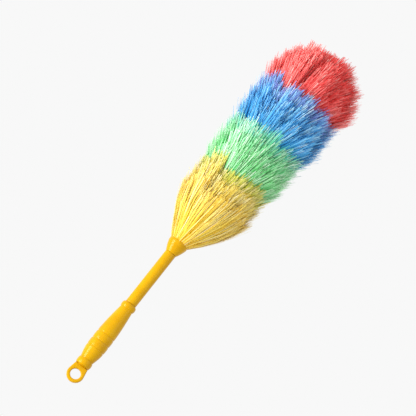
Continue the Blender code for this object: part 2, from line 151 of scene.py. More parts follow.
class Slot(Enum):
    """The record's material slots, one for the handle and one for each colour of fibre."""

    HANDLE = "handle_plastic"
    YELLOW = "yellow_fibre"
    GREEN = "green_fibre"
    BLUE = "blue_fibre"
    RED = "red_fibre"


@dataclass(frozen=True)
class GrainedFinish:
    """A finish whose colour, gloss and relief all follow one grain of noise.

    The colour runs from dark to pale between the grain's stops. A stretch near 0 along an axis
    draws the grain out into lines that way. The gloss swings both ways from the roughness over
    gloss_from, and surface holds the shader's other inputs by name.
    """

    name: str = "grained"
    dark: str = "808080"
    pale: str = "C0C0C0"
    roughness: float = 0.5
    grains_per_metre: float = 100.0
    stops: tuple[float, float] = (0.3, 0.7)
    stretch: Optional[tuple[float, float, float]] = None
    gloss_from: tuple[float, float] = (0.0, 1.0)
    gloss_swing: float = 0.0
    relief: float = 0.0
    relief_depth: float = 0.0001
    surface: dict[str, Link] = field(default_factory=dict)

    def material(self) -> bpy.types.Material:
        """Builds the material.

        Returns:
            The material, ready for a piece.
        """
        material, add = blank_material(self.name)
        place = add("ShaderNodeTexCoord").outputs["Object"]
        if self.stretch:
            lines = {0: place, 1: self.stretch}
            place = add("ShaderNodeVectorMath", {"operation": "MULTIPLY"}, lines)
        grain = add("ShaderNodeTexNoise", links={"Vector": place, "Scale": self.grains_per_metre})
        colour = add("ShaderNodeValToRGB", links={0: grain})
        set_ramp(colour, tuple(zip(self.stops, (self.dark, self.pale))))
        inputs = {"Base Color": colour, "Roughness": self.roughness, **self.surface}
        if self.gloss_swing:
            ends = (self.roughness - self.gloss_swing, self.roughness + self.gloss_swing)
            values = dict(enumerate((grain, *self.gloss_from, *ends)))
            inputs["Roughness"] = add("ShaderNodeMapRange", links=values)
        if self.relief:
            values = {"Strength": self.relief, "Distance": self.relief_depth, "Height": grain}
            inputs["Normal"] = add("ShaderNodeBump", links=values)
        shader = add("ShaderNodeBsdfPrincipled", links=inputs)
        add("ShaderNodeOutputMaterial", links={"Surface": shader})
        return material


@dataclass(frozen=True)
class MouldedPolypropylene(GrainedFinish):
    """Injection-moulded polypropylene, self-coloured, satin from the polished mould.

    The eye gets a soft, clear highlight and a faint ripple of shrinkage, about 18 mm long, in
    gloss and colour. The pigment is dense, so no light comes out beside where it went in.
    """

    name: str = "moulded_polypropylene_yellow"
    dark: str = "CC9600"
    pale: str = "D6A300"
    roughness: float = 0.20
    grains_per_metre: float = 55.0
    stops: tuple[float, float] = (0.32, 0.68)
    gloss_from: tuple[float, float] = (0.3, 0.7)
    gloss_swing: float = 0.03
    relief: float = 0.04
    relief_depth: float = 0.0003
    surface: dict[str, Link] = field(
        default_factory=lambda: {
            "IOR": 1.49,
            "Specular IOR Level": 0.30,
            "Specular Tint": linear_rgba("FFF2C0"),
        }
    )


@dataclass(frozen=True)
class ExtrudedPolypropylene(GrainedFinish):
    """Natural white polypropylene, extruded: milky, with faint draw lines along the tube.

    The lines are 0.7 mm apart, coarser than the die leaves them, so that they show.
    """

    name: str = "extruded_polypropylene_white"
    dark: str = "CFCDC4"
    pale: str = "E6E4DC"
    roughness: float = 0.45
    grains_per_metre: float = 1400.0
    stretch: tuple[float, float, float] = (1.0, 1.0, 0.02)
    relief: float = 0.15
    surface: dict[str, Link] = field(default_factory=lambda: {"IOR": 1.49})


@dataclass(frozen=True)
class GalvanisedBand(GrainedFinish):
    """Steel strip, galvanised and rolled: grey metal with fine lines round the band.

    The lines are 0.4 mm apart, coarser than the rollers leave them, so that they show.
    """

    name: str = "galvanised_steel_band"
    dark: str = "8E8E8A"
    pale: str = "B4B4AF"
    roughness: float = 0.36
    grains_per_metre: float = 2600.0
    stretch: tuple[float, float, float] = (0.08, 0.08, 1.0)
    gloss_swing: float = 0.08
    surface: dict[str, Link] = field(default_factory=lambda: {"Metallic": 1.0})


@dataclass(frozen=True)
class PaleFloor(GrainedFinish):
    """Matt painted board, almost white, with a trace of the roller's mottle, 25 mm across."""

    name: str = "matt_painted_floor"
    dark: str = "F4F4F3"
    pale: str = "F8F8F8"
    roughness: float = 0.9
    grains_per_metre: float = 40.0


@dataclass(frozen=True)
class SlitFilmFibre:
    """Polypropylene film, stretched and slit into flat hairs, one colour through.

    The pigment is deep and clean. Part of the paleness on the lit side is gloss: hairs that turn
    their flat side to the light show paler. The rest is painted into the colour: the tone ramp ends
    in a near-white painted highlight, which hairs of pale tone take at random in place of glints.
    Half of that gloss comes from the far face of the film, through the pigment, so it takes a tint,
    which is sheen. Towards the tip each hair is mixed towards the near-white, a painted light on
    the tips, and towards the root towards its dark colour, a painted shade near the header. over is
    the colour of the next tier, which shows through the tips, where they are fine.
    """

    name: str
    # Mixed in towards the root: a painted shade near the header.
    dark: str
    deep: str
    body: str
    pale: str
    # The near-white top of the tone ramp: a painted highlight that pale hairs and tips take.
    glare: str
    over: str
    sheen: str
    roughness: float = 0.38
    ior: float = 1.49
    shine: float = 1.0
    through: float = 0.01
    # How far each tip is mixed towards the near-white: painted light on the tips.
    fray: float = 0.30
    body_tone: float = 0.42
    pale_tone: float = 0.78
    # How much of the dark colour the root takes, and how far up: painted shade near the header.
    painted_root_shade: float = 0.6
    painted_root_shade_end: float = 0.5
    # Where the tip zone starts, both for the painted tip light and for the colour behind.
    tip_zone_from: float = 0.62
    tip_from: float = 0.98
    # A range of tones, and what it gives at each end: how much painted light a hair's tip takes,
    # and how much of the colour behind it shows.
    painted_tip_light_by_tone: tuple[float, float, float, float] = (0.25, 0.6, 0.35, 1.0)
    share_by_tone: tuple[float, float, float, float] = (0.3, 0.75, 1.0, 0.1)

    def material(self) -> bpy.types.Material:
        """Builds the material from the strand attributes "tone", "along" and "over".

        Returns:
            The material, ready for a row of strands.
        """
        material, add = blank_material(self.name)
        tone, along, over = (
            add("ShaderNodeAttribute", {"attribute_name": name}).outputs["Fac"]
            for name in ("tone", "along", "over")
        )
        # The ramp's near-white top stands in for the film's glints: a painted highlight on hairs of
        # pale tone.
        colour = add("ShaderNodeValToRGB", links={0: tone})
        tones = (0.0, self.body_tone, self.pale_tone, 1.0)
        set_ramp(colour, tuple(zip(tones, (self.deep, self.body, self.pale, self.glare))))
        # Nothing here depends on a hair but its tone, so that hairs of one tone share a map.
        # Of these ramps, the first darkens the root, a painted shade, and the second and third pale
        # the tip by tone, a painted light.
        root, split, painted_tip_light_weight, tip, share = (
            add("ShaderNodeMapRange", links=dict(enumerate(values)))
            for values in (
                (along, 0.0, self.painted_root_shade_end, self.painted_root_shade, 0.0),
                (along, self.tip_zone_from, 1.0, 0.0, self.fray),
                (tone, *self.painted_tip_light_by_tone),
                (along, self.tip_zone_from, self.tip_from, 0.0, 1.0),
                (tone, *self.share_by_tone),
            )
        )
        painted_tip_light_share = add("ShaderNodeMath", {"operation": "MULTIPLY"}, {0: split, 1: painted_tip_light_weight})
        strength = add("ShaderNodeMath", {"operation": "MULTIPLY"}, {0: tip, 1: share})
        seen = add("ShaderNodeMath", {"operation": "MULTIPLY"}, {0: strength, 1: over})
        # Over the hair's own colour, in turn: the dark colour towards the root, a painted shade
        # near the header; the near-white towards the tip, a painted light, more on pale hairs; and
        # the colour behind the tip.
        for factor, code in ((root, self.dark), (painted_tip_light_share, self.glare), (seen, self.over)):
            layers = {0: factor, 6: colour, 7: linear_rgba(code)}
            colour = add("ShaderNodeMix", {"data_type": "RGBA"}, layers).outputs[2]
        film = add(
            "ShaderNodeBsdfPrincipled",
            links={
                "Base Color": colour,
                "Roughness": self.roughness,
                "IOR": self.ior,
                "Specular IOR Level": self.shine,
                "Specular Tint": linear_rgba(self.sheen),
            },
        )
        back = add("ShaderNodeBsdfTranslucent", links={"Color": colour})
        both = add("ShaderNodeMixShader", links={0: self.through, 1: film, 2: back})
        add("ShaderNodeOutputMaterial", links={"Surface": both})
        return material


def install(
    name: str, mesh: bpy.types.Mesh, material: bpy.types.Material, node: str
) -> bpy.types.Object:
    """Makes a piece of a mesh, dresses it and puts it in the place of its CAD node.

    Args:
        name: the piece's name.
        mesh: its mesh, in place.
        material: its only material.
        node: the CAD node that it stands for.

    Returns:
        The piece.
    """
    mesh.name = name
    mesh.materials.clear()
    mesh.materials.append(material)
    piece = bpy.data.objects.new(name, mesh)
    bpy.context.scene.collection.objects.link(piece)
    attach(piece, Body.ROOT.value)
    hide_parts(node)
    log.info("%s: %d faces, for %s", name, len(mesh.polygons), node)
    return piece


def welded_mesh(name: str, shape: bmesh.types.BMesh, crisp: float) -> bpy.types.Mesh:
    """Closes a shape's seams and makes a smooth mesh of it.

    Args:
        name: the mesh's name.
        shape: the shape, which is freed.
        crisp: the angle from which an edge stays sharp.

    Returns:
        The mesh, with its faces outwards.
    """
    bmesh.ops.remove_doubles(shape, verts=shape.verts, dist=WELD)
    bmesh.ops.recalc_face_normals(shape, faces=shape.faces)
    mesh = bpy.data.meshes.new(name)
    shape.to_mesh(mesh)
    shape.free()
    mesh.shade_smooth()
    mesh.set_sharp_from_angle(angle=crisp)
    return mesh


def turned_mesh(name: str, outline: Outline, steps: int, crisp: float) -> bpy.types.Mesh:
    """Turns a closed outline round the Z axis.

    Args:
        name: the mesh's name.
        outline: (radius, height) points of a closed section. Two neighbours on the axis are
            joined by the axis itself, which makes no faces.
        steps: facets in a full turn.
        crisp: the angle from which an edge stays sharp.

    Returns:
        A closed mesh with its faces outwards.
    """
    shape = bmesh.new()
    corners = [shape.verts.new((radius, 0.0, height)) for radius, height in outline]
    edges = []
    for here, there in zip(corners, corners[1:] + corners[:1]):
        if here.co.x > 0.0 or there.co.x > 0.0:
            edges.append(shape.edges.new((here, there)))
    bmesh.ops.spin(
        shape,
        geom=corners + edges,
        cent=(0, 0, 0),
        axis=(0, 0, 1),
        angle=2 * math.pi,
        steps=steps,
        use_merge=True,
    )
    return welded_mesh(name, shape, crisp)


def arc(
    centre: tuple[float, float], radius: float, start: float, end: float, points: int
) -> Outline:
    """Points of an arc.

    Args:
        centre: (radius, height) of its centre.
        radius: its own radius.
        start: angle of its first point, in degrees from the outward direction.
        end: angle of its last point.
        points: how many.

    Returns:
        The points, both ends among them.
    """
    turns = [math.radians(start + (end - start) * i / (points - 1)) for i in range(points)]
    return [(centre[0] + radius * math.cos(t), centre[1] + radius * math.sin(t)) for t in turns]


@dataclass
class Handle:
    """The moulded handle: hanging eye, hollow grip, shaft and flared ferrule."""

    finish: MouldedPolypropylene = field(default_factory=MouldedPolypropylene)
    steps: int = 96
    crisp: float = math.radians(50)
    seat_gap: float = 0.0003
    socket_gap: float = 0.001

    shaft_radius: float = 0.0083
    shaft_bore: float = 0.0053
    shaft_edge: float = 0.0004
    high_spigot: float = 0.0068
    high_spigot_length: float = 0.0088
    low_spigot: float = 0.0070
    low_spigot_length: float = 0.025
    shaft_length: float = 0.0912
    shaft_rings: int = 12
    edge_points: int = 5

    ferrule_mouth: float = 0.0147
    ferrule_bore: float = 0.0071
    ferrule_flare_length: float = 0.0158
    ferrule_bulge: float = 0.0007
    ferrule_wall: float = 0.0017
    ferrule_foot_edge: float = 0.0004
    flare_rings: int = 28
    inner_flare_rings: int = 6
    lip_points: int = 13

    grip_length: float = 0.109
    low_neck: float = 0.0101
    high_neck: float = 0.0097
    barrel: float = 0.0139
    bead_proud: float = 0.0014
    low_bead_length: float = 0.0100
    high_bead_length: float = 0.0088
    bead_points: int = 19
    barrel_rings: int = 170
    hollow_rings: int = 12
    full_from: float = 0.25
    full_to: float = 0.43
    groove_first_rise: float = 0.0198
    groove_pitch: float = 0.0118
    groove_depth: float = 0.0008
    groove_half_width: float = 0.0008
    pillow: float = 0.00018
    grip_bore: float = 0.0073
    grip_wall: float = 0.0026

    eye_hole: float = 0.0074
    eye_radius: float = 0.0125
    eye_thickness: float = 0.0070
    eye_edge: float = 0.0019
    eye_neck_length: float = 0.0020
    eye_points: int = 73
    eye_crisp: float = math.radians(40)
    plug_radius: float = 0.0070
    plug_wall: float = 0.0022
    plug_length: float = 0.020
    plug_edge: float = 0.0008
    plug_sink: float = 0.0006

    def build(self) -> list[bpy.types.Object]:
        """Builds and dresses the four pieces.

        Returns:
            The pieces, from the eye up.
        """
        material = self.finish.material()
        made = [
            ("hang_eye_moulding", self.eye_mesh(), "hang_eye"),
            ("grip_moulding", self.turn("grip", self.grip_outline()), "grip"),
            ("shaft_tube", self.turn("shaft", self.shaft_outline()), "shaft"),
            ("ferrule_cup", self.turn("ferrule", self.ferrule_outline()), "ferrule"),
        ]
        return [install(name, mesh, material, node) for name, mesh, node in made]

    def turn(self, name: str, outline: Outline) -> bpy.types.Mesh:
        """Turns one of the handle's outlines."""
        return turned_mesh(name, outline, self.steps, self.crisp)

    @property
    def grip_bottom(self) -> float:
        """Height of the grip's lower end."""
        return -self.grip_length / 2

    @property
    def shaft_bottom(self) -> float:
        """Height of the shaft's visible lower end."""
        return self.grip_length / 2 + self.seat_gap

    @property
    def shaft_top(self) -> float:
        """Height of the shaft's visible upper end."""
        return self.shaft_bottom + self.shaft_length

    def barrel_radius(self, height: float) -> float:
        """Outer radius of the barrel without its grooves.

        Args:
            height: where, between the two necks.

        Returns:
            A quarter wave up from the low neck, a full middle, and a quarter wave down.
        """
        low = self.grip_bottom + self.low_bead_length
        high = self.grip_length / 2 - self.high_bead_length
        share = (height - low) / (high - low)
        if share < self.full_from:
            rise = math.cos(math.pi / 2 * (1 - share / self.full_from))
            return self.low_neck + (self.barrel - self.low_neck) * rise
        if share > self.full_to:
            rise = math.cos(math.pi / 2 * (share - self.full_to) / (1 - self.full_to))
            return self.high_neck + (self.barrel - self.high_neck) * rise
        return self.barrel

    def grooved_radius(self, height: float) -> float:
        """Outer radius of the barrel with its grooves, and the slight pillow between them.

        Args:
            height: where.

        Returns:
            The radius.
        """
        first = self.grip_bottom + self.low_bead_length + self.groove_first_rise
        radius = self.barrel_radius(height)
        steps = (height - first) / self.groove_pitch
        if 0.0 < steps < 2.0:
            radius += self.pillow * math.sin(math.pi * steps) ** 2
        for number in range(3):
            away = (height - first - number * self.groove_pitch) / self.groove_half_width
            radius -= self.groove_depth * math.exp(-away * away)
        return radius

    def bead(
        self, low: float, high: float, low_radius: float, high_radius: float, peak: float
    ) -> Outline:
        """Outline of a round bead, from its top end down.

        Args:
            low: height of its lower end.
            high: height of its upper end.
            low_radius: radius of its lower end.
            high_radius: radius of its upper end.
            peak: its greatest radius.

        Returns:
            The points, both ends among them.
        """
        outline = []
        for i in range(self.bead_points):
            share = i / (self.bead_points - 1)
            foot = high_radius + (low_radius - high_radius) * share
            radius = foot + (peak - foot) * math.sin(math.pi * share)
            height = (low + high) / 2 + (high - low) / 2 * math.cos(math.pi * share)
            outline.append((radius, height))
        return outline

    def grip_outline(self) -> Outline:
        """Top bead, grooved barrel, bottom bead, and the hollow with a socket at each end.

        Returns:
            The closed outline, from the top bead down and back up inside.
        """
        bottom, top = self.grip_bottom, self.grip_length / 2
        low, high = bottom + self.low_bead_length, top - self.high_bead_length
        mouth, peak = self.shaft_radius + self.shaft_edge, self.high_neck + self.bead_proud
        outline = self.bead(high, top, self.high_neck, mouth, peak)
        for i in range(1, self.barrel_rings):
            height = high + (low - high) * i / self.barrel_rings
            outline.append((self.grooved_radius(height), height))
        peak = self.low_neck + self.bead_proud
        outline += self.bead(bottom, low, self.low_neck, self.low_neck, peak)
        outline.append((self.grip_bore, bottom))
        socket_low = bottom + self.plug_length + self.socket_gap
        socket_high = top - self.low_spigot_length - self.socket_gap
        outline.append((self.grip_bore, socket_low))
        for i in range(1, self.hollow_rings):
            height = socket_low + (socket_high - socket_low) * i / self.hollow_rings
            hollow = self.barrel_radius(height) - self.groove_depth - self.grip_wall
            outline.append((max(hollow, self.grip_bore), height))
        return outline + [(self.grip_bore, socket_high), (self.grip_bore, top)]

    def shaft_outline(self) -> Outline:
        """The tube with its stepped spigots, its shoulders eased by a small radius.

        Returns:
            The closed outline, from the upper spigot down and back up inside.
        """
        edge = self.shaft_edge
        high_end = self.shaft_top + self.high_spigot_length
        low_end = self.shaft_bottom - self.low_spigot_length
        inner = self.shaft_radius - edge
        low, high = self.shaft_bottom + edge, self.shaft_top - edge
        heights = [
            low + (self.shaft_length - 2 * edge) * i / self.shaft_rings
            for i in range(self.shaft_rings - 1, 0, -1)
        ]
        return [
            (self.high_spigot - edge, high_end),
            (self.high_spigot, high_end - edge),
            (self.high_spigot, self.shaft_top),
            *arc((inner, high), edge, 90, 0, self.edge_points),
            *[(self.shaft_radius, height) for height in heights],
            *arc((inner, low), edge, 0, -90, self.edge_points),
            (self.low_spigot, self.shaft_bottom),
            (self.low_spigot, low_end + edge),
            (self.low_spigot - edge, low_end),
            (self.shaft_bore, low_end),
            (self.shaft_bore, high_end),
        ]

    def ferrule_outline(self) -> Outline:
        """The flared cup: rounded lip, shallow arc down to the shaft, bore and floor.

        Returns:
            The closed outline, from the lip down the outside and back up inside.
        """
        bottom = self.shaft_top + self.seat_gap
        flare_top = bottom + self.ferrule_flare_length
        floor = self.shaft_top + self.high_spigot_length + self.seat_gap
        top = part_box("ferrule")[1].z

        def radius_at(height: float) -> float:
            """Outer radius of the flare.

            Args:
                height: where.

            Returns:
                A straight flare with a slight bulge.
            """
            share = min(1.0, (height - bottom) / self.ferrule_flare_length)
            straight = self.shaft_radius + (self.ferrule_mouth - self.shaft_radius) * share
            return straight + self.ferrule_bulge * math.sin(math.pi * share)

        lip = self.ferrule_wall / 2
        outline = arc((self.ferrule_mouth - lip, top - lip), lip, 180, 0, self.lip_points)
        edge = self.ferrule_foot_edge
        for i in range(self.flare_rings + 1):
            height = bottom + edge + (flare_top - bottom - edge) * (1 - i / self.flare_rings)
            outline.append((radius_at(height), height))
        foot = (radius_at(bottom) - edge, bottom + edge)
        outline += arc(foot, edge, 0, -90, self.edge_points)[1:]
        outline += [
            (self.ferrule_bore, bottom),
            (self.ferrule_bore, floor),
            (radius_at(floor) - self.ferrule_wall, floor),
        ]
        for i in range(1, self.inner_flare_rings):
            height = floor + (flare_top - floor) * i / self.inner_flare_rings
            outline.append((radius_at(height) - self.ferrule_wall, height))
        return outline

    def eye_mesh(self) -> bpy.types.Mesh:
        """The flat ring on its widening neck, with all its edges rounded, and its round plug.

        Returns:
            The mesh: the flat and the plug that it stands on inside the grip.
        """
        shoulder = self.grip_bottom - self.seat_gap
        centre = shoulder - self.eye_neck_length - self.eye_radius
        rise = shoulder - centre
        reach = math.hypot(self.low_neck, rise)
        tangent = math.degrees(math.atan2(rise, self.low_neck) - math.acos(self.eye_radius / reach))
        turn = (180 - tangent, 360 + tangent)
        ring = arc((0.0, centre), self.eye_radius, *turn, self.eye_points)
        rim = [(self.low_neck, shoulder), (-self.low_neck, shoulder), *ring]
        hole = arc((0.0, centre), self.eye_hole, 0, 360, self.eye_points)[:-1]
        curve = bpy.data.curves.new("eye outline", "CURVE")
        curve.dimensions = "2D"
        curve.fill_mode = "BOTH"
        curve.bevel_depth = self.eye_edge
        curve.bevel_resolution = 5
        curve.offset = -self.eye_edge
        curve.extrude = self.eye_thickness / 2 - self.eye_edge
        for points in (rim, hole):
            spline = curve.splines.new("POLY")
            spline.points.add(len(points) - 1)
            for point, (across, up) in zip(spline.points, points):
                point.co = (across, up, 0.0, 1.0)
            spline.use_cyclic_u = True
        flat = bpy.data.objects.new("eye outline", curve)
        bpy.context.scene.collection.objects.link(flat)
        bpy.context.view_layer.update()
        graph = bpy.context.evaluated_depsgraph_get()
        made = bpy.data.meshes.new_from_object(flat.evaluated_get(graph))
        bpy.data.objects.remove(flat)
        shape = bmesh.new()
        shape.from_mesh(made)
        upright = Matrix.Rotation(math.radians(90), 4, "X")
        bmesh.ops.transform(shape, matrix=upright, verts=shape.verts)
        shape.from_mesh(self.turn("plug", self.plug_outline(shoulder)))
        return welded_mesh("hang eye", shape, self.eye_crisp)

    def plug_outline(self, shoulder: float) -> Outline:
        """The eye's hollow plug, open at the top.

        Args:
            shoulder: height of the eye's shoulder.

        Returns:
            Its outline, from the axis outwards and back.
        """
        hollow = self.plug_radius - self.plug_wall
        floor, top = shoulder + 2 * self.plug_wall, shoulder + self.plug_length
        return [
            (0.0, floor),
            (hollow, floor),
            (hollow, top),
            (self.plug_radius - self.plug_edge, top),
            (self.plug_radius, top - self.plug_edge),
            (self.plug_radius, shoulder - self.plug_sink),
            (0.0, shoulder - self.plug_sink),
        ]


# In the tables below, each line is one Math node. These are its operations by sign.
OPERATIONS = {
    "+": "ADD", "-": "SUBTRACT", "*": "MULTIPLY", "*+": "MULTIPLY_ADD", "/": "DIVIDE",
    "%": "FLOORED_MODULO", ">": "GREATER_THAN", "min": "MINIMUM", "max": "MAXIMUM",
    "cos": "COSINE", "sin": "SINE", "floor": "FLOOR", "round": "ROUND",
}
SIGNS = re.compile(r"(?:^| )(min|max|cos|sin|floor|round|[-+*/%>]) ")
SOCKETS = {int: "NodeSocketInt", float: "NodeSocketFloat", type(None): "NodeSocketMaterial"}

# The lock that a fibre is in.
LOCK_SUMS = """
lock = number % Locks
fibre id = Seed * Seed Step + number
lock id = Tier Seed * Lock Seed Step + lock
"""

# The fibre's tuft, from its place across the lock.
TUFT_SUMS = """
side share = side * 0.5 + 0.5
side tufts = side share * Tufts
tuft step = floor side tufts
tuft = lock * Tufts + tuft step
tuft id = Tier Seed * Tuft Seed Step + tuft
"""

# The fibre's shape: how far sideways, how steep, how long, and so where each point goes. Then its
# girth, and its tone in steps of one column of the map. A fibre that flares further out, on top of
# the others, takes a paler tone and one that lies deeper a darker one: painted light and shade by
# depth.
FIBRE_SUMS = """
root circle = Root Radius * Circle
root width = root circle * 2
root half = root width / Locks
tip half = lock width * Width Spread + Lock Half Width
half gain = tip half - root half
half here = half gain * along + root half
along 2 = along * along
along 4 = along 2 * along 2
lean 1 = lock lean * Lean
lean = tuft lean * Tuft Lean + lean 1
lean tip = lean * along 2
fibre lean here = Fibre Lean * along
lean here = fibre lean * fibre lean here + lean tip
half turn = along * Half Circle
arch = sin half turn
bow width = bow * Bow
bow here = arch * bow width + lean here
sideways = side * half here + bow here
flare 1 = lock flare * Lock Flare
flare 2 = tuft flare * Tuft Flare + flare 1
strays = stray > Stray From
stray flare = strays * Stray Flare + Fibre Flare
flare = fibre flare * stray flare + flare 2
flare cosine = cos flare
flare sine = sin flare
length 1 = lock length * Lock Length + 1
length 2 = tuft length * Tuft Length + length 1
length = fibre length * Fibre Length + length 2
out = guide x - Root Radius
up = guide z - Root Height
out cosine = out * flare cosine
out turned = up * flare sine + out cosine
out sine = out * flare sine
up cosine = up * flare cosine
up turned = up cosine - out sine
radius = out turned * length + Root Radius
z here = up turned * length + Root Height
z = fibre root * Root Spread + z here
lock place = lock turn * Turn Spread + lock
turn share = lock place / Locks
turn = turn share * Circle
turn cosine = cos turn
turn sine = sin turn
x out = radius * turn cosine
x side = sideways * turn sine
x flat = x out - x side
x = along * Droop + x flat
y out = radius * turn sine
y = sideways * turn cosine + y out
wander here = Wander * along
girth = bow * Girth Spread + 1
narrowing = along 4 * Tip Narrowing + 1
taper = girth * narrowing
twist = tilt * Twist
tone 1 = fibre tone * 0.5 + 0.5
tone 2 = tone 1 * tone 1
tone 3 = tone 2 * Contrast + Paleness
tone 4 = tuft tone * Tuft Tone + tone 3
tone 5 = lock tone * Lock Tone + tone 4
tone 6 = fibre flare * Fibre Flare Tone + tone 5
tone 7 = tuft flare * Group Flare Tone + tone 6
tone 8 = lock flare * Group Flare Tone + tone 7
tone steps = tone 8 * Last Column
tone step = round tone steps
low column = tone step min Last Column
column = low column max 0
tone = column / Last Column
"""

# The underlay: broad strands side by side, just under the fibres, that close the row. Their tones
# are held low, in the deep colours: painted shade in the gaps between the hairs.
PLY_SUMS = """
ply length = ply draw * Ply Length Spread + Ply Length
out = guide x - Root Radius
up = guide z - Root Height
rise = out * ply length + Root Radius
sink = Underlay Sink * along
radius = rise - sink
z = up * ply length + Root Height
turn share = ply id / Underlay
turn = turn share * Circle
turn cosine = cos turn
turn sine = sin turn
x out = radius * turn cosine
x = along * Droop + x out
y = radius * turn sine
width share = radius / Underlay
taper = width share * Ply Width
tone 1 = ply tone * Ply Tone Spread + Ply Tone
column = round tone 1
tone = column / Last Column
"""

# The fibres leave the front two thirds of the header, so its middle is a little lower.
HEADER_SUMS = """
header radius = Header Thickness * -0.5 + Root Radius
header middle = Header Height * Header Drop + Root Height
"""

# A hair takes up most of its column's width, and most of the map's height.
MAP_SUMS = """
column = tone * Last Column + 0.15
place = side * 1.05 + column
across = place / Columns
upward = along * 0.96 + 0.02
"""


@dataclass
class FibreTree:
    """The Geometry Nodes tree that grows one row of fringe from its guide strand.

    The guide is one strand, drawn flat in the XZ plane. It is copied once for each fibre. A
    fibre belongs to a lock, and within it to a tuft, and each of these three turns, lifts,
    lengthens and tints it by a random draw of its own. Rows with one Tier Seed share the draws
    of their locks and tufts, and Seed sets their fibres apart. Named inputs hold every size.
    """

    name: str = "fringe_row"
    hair_sides: int = 3
    hair_flatness: float = 0.22
    ply_flatness: float = 0.15
    ply_radius: float = 0.001
    header_sides: int = 48
    wander_per_metre: float = 32.0

    # What a row may change. Real film hairs are too fine to show, so a strand is drawn about
    # 1.5 mm wide and stands for a bundle of them.
    inputs: ClassVar[dict[str, Any]] = {
        "Fibres": 5200, "Locks": 28, "Tufts": 4, "Seed": 1, "Tier Seed": 1,
        "Root Radius": 0.0083, "Root Height": 0.16, "Root Spread": 0.006,
        "Lock Half Width": 0.0076, "Width Spread": 0.0025, "Turn Spread": 0.32,
        "Lean": 0.0020, "Tuft Lean": 0.0030, "Fibre Lean": 0.0085, "Bow": 0.0010,
        "Lock Flare": 0.040, "Tuft Flare": 0.016, "Fibre Flare": 0.060, "Stray Flare": 0.05,
        "Lock Length": 0.13, "Tuft Length": 0.07, "Fibre Length": 0.11,
        "Underlay": 120, "Underlay Sink": 0.006, "Droop": 0.006, "Wander": 0.0015,
        "Strand Radius": 0.00078, "Twist": 0.28,
        "Over": 0.0, "Paleness": 0.04, "Contrast": 0.82,
        "Header Height": 0.009, "Header Thickness": 0.003, "Material": None,
    }

    # What all rows share: a draw above Stray From makes a fibre stray, and the tones say how far
    # each draw pales its fibre. The two flare tones pale the fibres that flare out on top and
    # darken those that lie deeper, painted light and shade by depth. Plies are the broad strands of
    # the underlay, whose low tones are painted shade.
    numbers: ClassVar[dict[str, float]] = {
        "Half Circle": math.pi, "Circle": 2 * math.pi,
        "Seed Step": 20011.0, "Lock Seed Step": 211.0, "Tuft Seed Step": 1009.0,
        "Stray From": 0.86, "Girth Spread": 0.3, "Tip Narrowing": -0.45,
        "Tuft Tone": 0.15, "Lock Tone": 0.14, "Fibre Flare Tone": 0.14, "Group Flare Tone": 0.08,
        "Last Column": 63.0, "Columns": 64.0,
        "Ply Length": 0.80, "Ply Length Spread": 0.06, "Ply Width": 6400.0,
        "Ply Tone": 11.0, "Ply Tone Spread": 9.0, "Header Drop": -0.178,
    }

    # Random draws from -1 to 1: what they belong to, the first one's seed, and their names.
    draws: ClassVar[dict[str, tuple[int, tuple[str, ...]]]] = {
        "fibre id": (
            1,
            ("side", "fibre flare", "fibre length", "bow", "tilt", "fibre tone", "stray",
             "fibre lean", "fibre root"),
        ),
        "lock id": (
            11,
            ("lock turn", "lock flare", "lock length", "lock lean", "lock width", "lock tone"),
        ),
        "tuft id": (21, ("tuft tone", "tuft flare", "tuft length", "tuft lean")),
        "ply id": (31, ("ply draw", "ply tone")),
    }

    def build(self) -> bpy.types.NodeTree:
        """Builds the tree.

        Returns:
            The tree, to be used by one modifier for each row.
        """
        tree = bpy.data.node_groups.new(self.name, "GeometryNodeTree")
        add = partial(add_node, tree)
        for way in ("INPUT", "OUTPUT"):
            tree.interface.new_socket("Geometry", in_out=way, socket_type="NodeSocketGeometry")
        for name, value in self.inputs.items():
            kind = SOCKETS[type(value)]
            socket = tree.interface.new_socket(name, in_out="INPUT", socket_type=kind)
            if value is not None:
                socket.default_value = value
        given = add("NodeGroupInput")
        made = {name: given.outputs[name] for name in ("Geometry", *self.inputs)}
        made["along"] = add("GeometryNodeSplineParameter").outputs["Factor"]
        guide = add("ShaderNodeSeparateXYZ", links={0: add("GeometryNodeInputPosition")})
        made["guide x"], made["guide z"] = guide.outputs["X"], guide.outputs["Z"]

        joined = add("GeometryNodeJoinGeometry")
        for part in (self.header(add, made), self.fibres(add, made), self.underlay(add, made)):
            tree.links.new(part.outputs[0], joined.inputs["Geometry"])
        mapped = self.map_hairs(add, joined)
        over = add(
            "GeometryNodeStoreNamedAttribute",
            {"data_type": "FLOAT", "domain": "POINT"},
            {"Geometry": mapped, "Name": "over", "Value": made["Over"]},
        )
        finish = {"Geometry": over, "Material": made["Material"]}
        dressed = add("GeometryNodeSetMaterial", links=finish)
        real = add("GeometryNodeRealizeInstances", links={"Geometry": dressed})
        add("NodeGroupOutput", links={"Geometry": real})
        return tree

    def add_draws(self, add: Adder, made: dict[str, Any], owner: str) -> None:
        """Adds the random draws of one owner.

        Args:
            add: add_node for the tree.
            made: sockets by name, to which the draws are added.
            owner: whose draws, such as "fibre id".
        """
        first, names = self.draws[owner]
        for seed, name in enumerate(names, first):
            values = {2: -1.0, 3: 1.0, "ID": made[owner], "Seed": seed}
            draw = add("FunctionNodeRandomValue", {"data_type": "FLOAT"}, values)
            made[name] = draw.outputs[1]

    def add_sums(self, add: Adder, made: dict[str, Any], sums: str) -> None:
        """Adds one Math node for each line of sums.

        Args:
            add: add_node for the tree.
            made: sockets by name, to which the results are added.
            sums: lines such as "taper = girth * narrowing" or "arch = sin half turn", where a
                term is a name in made, the name of a shared number, or a number.
        """
        for line in sums.strip().splitlines():
            name, formula = line.strip().split(" = ")
            parts = SIGNS.split(formula)
            terms = [
                made[term] if term in made else self.numbers.get(term) or float(term)
                for term in parts[::2]
                if term
            ]
            operation = OPERATIONS["".join(parts[1::2])]
            node = add("ShaderNodeMath", {"operation": operation}, dict(enumerate(terms)))
            made[name] = node.outputs[0]

